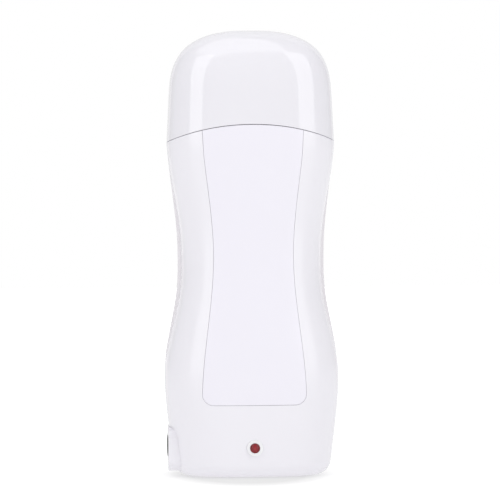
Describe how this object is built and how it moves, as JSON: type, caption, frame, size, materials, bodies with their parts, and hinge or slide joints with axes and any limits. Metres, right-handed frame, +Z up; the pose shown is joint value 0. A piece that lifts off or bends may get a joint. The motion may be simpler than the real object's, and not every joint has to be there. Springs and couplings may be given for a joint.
{
  "type": "roll-on wax warmer",
  "caption": "Waisted upright wax warmer: two half shells round a heating well, inset front panel, pilot lamp, side power inlet, roll-on wax cartridge and domed lift-off cap.",
  "frame": {"origin": "middle of the base, on the surface it stands on", "axes": "+Z up, the front panel faces -Y, the power inlet is on the -X side"},
  "size_m": [0.08, 0.058, 0.203],
  "materials": {
    "cap_white": "gloss",
    "shell_white": "gloss",
    "panel_white": "satin",
    "collar_white": "satin",
    "well_aluminium": "satin",
    "screw_steel": "satin",
    "spring_steel": "satin",
    "film_amber": "gloss",
    "heater_ceramic": "matte",
    "fuse_metal": "satin",
    "sleeve_fabric": "matte",
    "socket_black": "satin",
    "pin_nickel": "polished",
    "lamp_red": "gloss",
    "ring_white": "gloss",
    "lead_tin": "satin",
    "board_tan": "matte",
    "resistor_tan": "matte",
    "diode_black": "gloss",
    "wire_brown": "matte",
    "wire_blue": "matte",
    "wire_grey": "matte",
    "bottle_cream": "gloss",
    "wax_honey": "gloss",
    "head_white": "gloss",
    "roller_white": "satin"
  },
  "bodies": {
    "housing": {"rear_shell": "shell_white", "front_shell": "shell_white", "front_panel": "panel_white", "well_collar": "collar_white", "heating_well": "well_aluminium", "well_screws": "screw_steel", "heater_film": "film_amber", "heater": "heater_ceramic", "heater_spring": "spring_steel", "thermal_fuse": "fuse_metal", "fuse_sleeve": "sleeve_fabric", "fuse_clip": "spring_steel", "clip_screw": "screw_steel", "inlet_block": "shell_white", "inlet_socket": "socket_black", "inlet_pins": "pin_nickel", "lamp": "lamp_red", "lamp_ring": "ring_white", "lamp_leads": "lead_tin", "lamp_board": "board_tan", "board_resistors": "resistor_tan", "board_diode": "diode_black", "board_screws": "screw_steel", "shell_screws": "screw_steel", "live_wire": "wire_brown", "link_wire": "wire_brown", "neutral_wire": "wire_blue", "lamp_wires": "wire_grey"},
    "cartridge": {"wax_bottle": "bottle_cream", "wax": "wax_honey", "roller_head": "head_white"},
    "roller": {"roller": "roller_white"},
    "cap": {"cap": "cap_white"}
  },
  "joints": [
    {"name": "cartridge_lift", "type": "slide", "parent": "housing", "child": "cartridge", "axis": [0, 0, 1], "range_m": [0, 0.112]},
    {"name": "roller_spin", "type": "hinge", "parent": "cartridge", "child": "roller", "pos_m": [0, 0, 0.1795], "axis": [1, 0, 0], "continuous": true},
    {"name": "cap_lift", "type": "slide", "parent": "cartridge", "child": "cap", "axis": [0, 0, 1], "range_m": [0, 0.06]}
  ]
}
